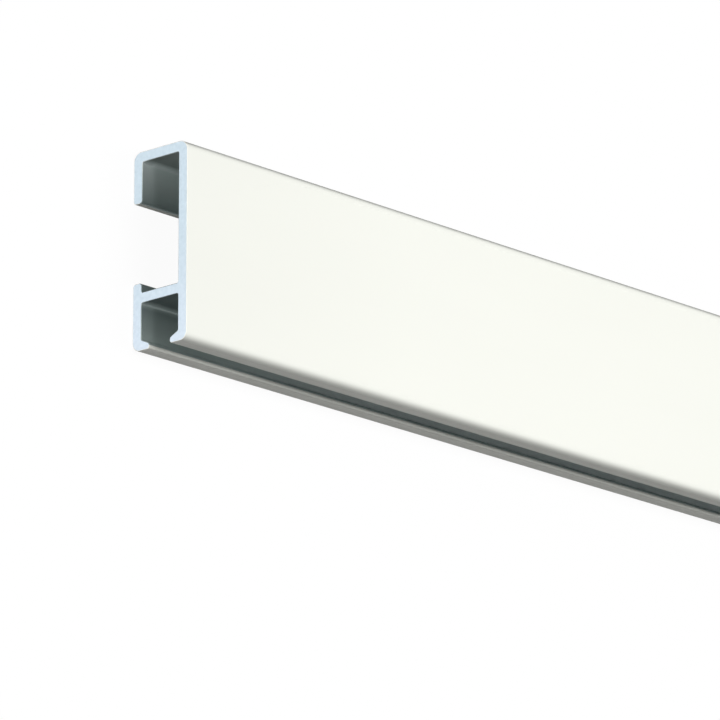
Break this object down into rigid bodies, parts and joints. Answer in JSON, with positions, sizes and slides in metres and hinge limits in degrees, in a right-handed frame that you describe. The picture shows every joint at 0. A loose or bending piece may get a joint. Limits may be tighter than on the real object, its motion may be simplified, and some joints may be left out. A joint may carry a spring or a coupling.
{
  "type": "picture hanging rail",
  "caption": "Straight length of extruded aluminium picture rail with a rear clip channel and a slotted hook channel along its bottom edge.",
  "frame": {"origin": "middle of the length and of the height, on the plane where the two rear lips touch the wall; the rail is stored lying on its back, so this is the middle of its base", "axes": "+X along the rail, +Y across its height towards the top edge, away from the hook slot, +Z out of the wall towards the front face"},
  "size_m": [1, 0.028, 0.01],
  "materials": {
    "coated_aluminium": "satin warm white coating on extruded aluminium, with bare sawn ends"
  },
  "bodies": {
    "root": {"rail": "coated_aluminium"}
  },
  "joints": []
}
